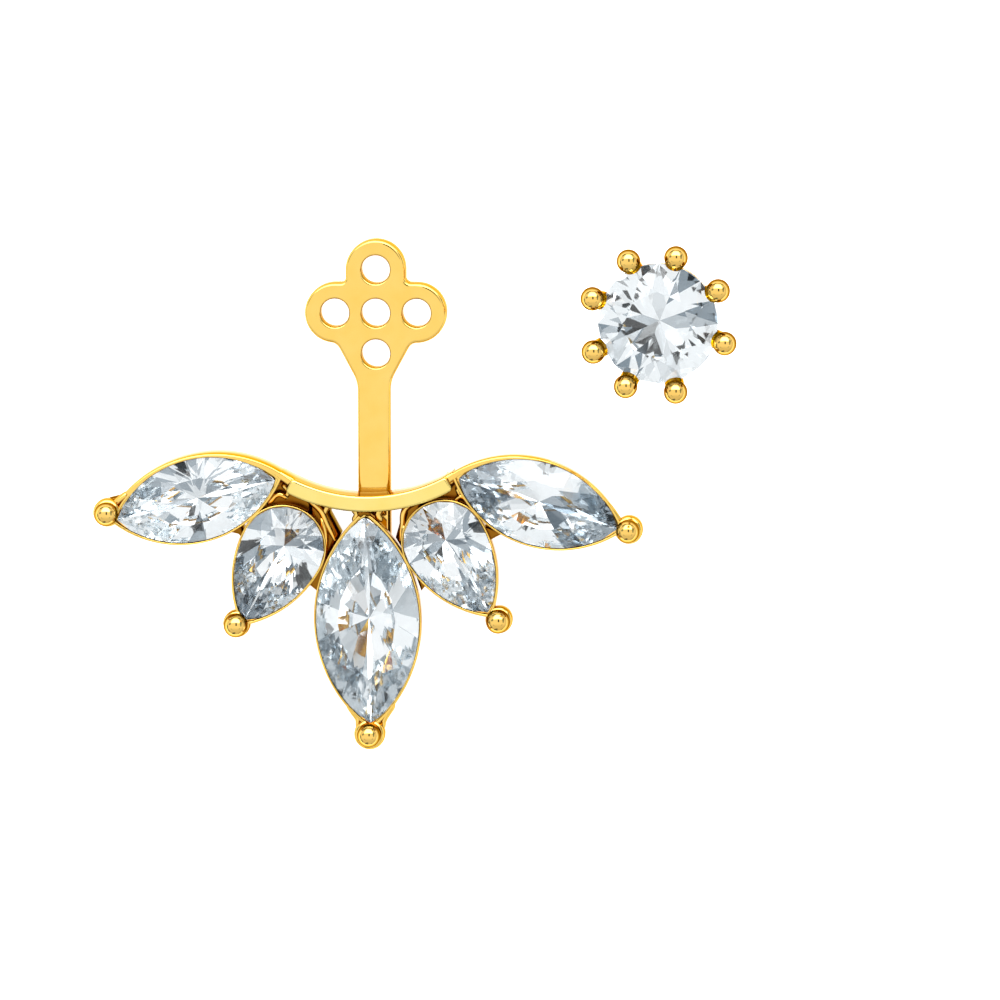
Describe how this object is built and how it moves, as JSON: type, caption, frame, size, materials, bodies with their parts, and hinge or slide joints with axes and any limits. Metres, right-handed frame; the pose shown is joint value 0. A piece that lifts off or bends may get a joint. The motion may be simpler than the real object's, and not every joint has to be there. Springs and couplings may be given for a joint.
{
  "type": "ear jacket earring",
  "caption": "Gold ear jacket with a clover hole plate, a strap and a fan of marquise and pear crystals, with its ball-claw stud and ear nut.",
  "frame": {"origin": "centre of the clover plate's middle hole, on the surface that the jacket lies on", "axes": "+X to the right and +Y up along the strap, both seen from the front; +Z out of the front face"},
  "size_m": [0.0321, 0.0259, 0.0134],
  "materials": {
    "gold": "polished, gold plated",
    "crystal": "clear, faceted, silver foiled on the lower facets"
  },
  "bodies": {
    "root": {"jacket_frame": "gold", "centre_marquise": "crystal", "left_wing_marquise": "crystal", "right_wing_marquise": "crystal", "left_pear": "crystal", "right_pear": "crystal", "stud_setting": "gold", "stud_stone": "crystal", "ear_nut": "gold"}
  },
  "joints": []
}
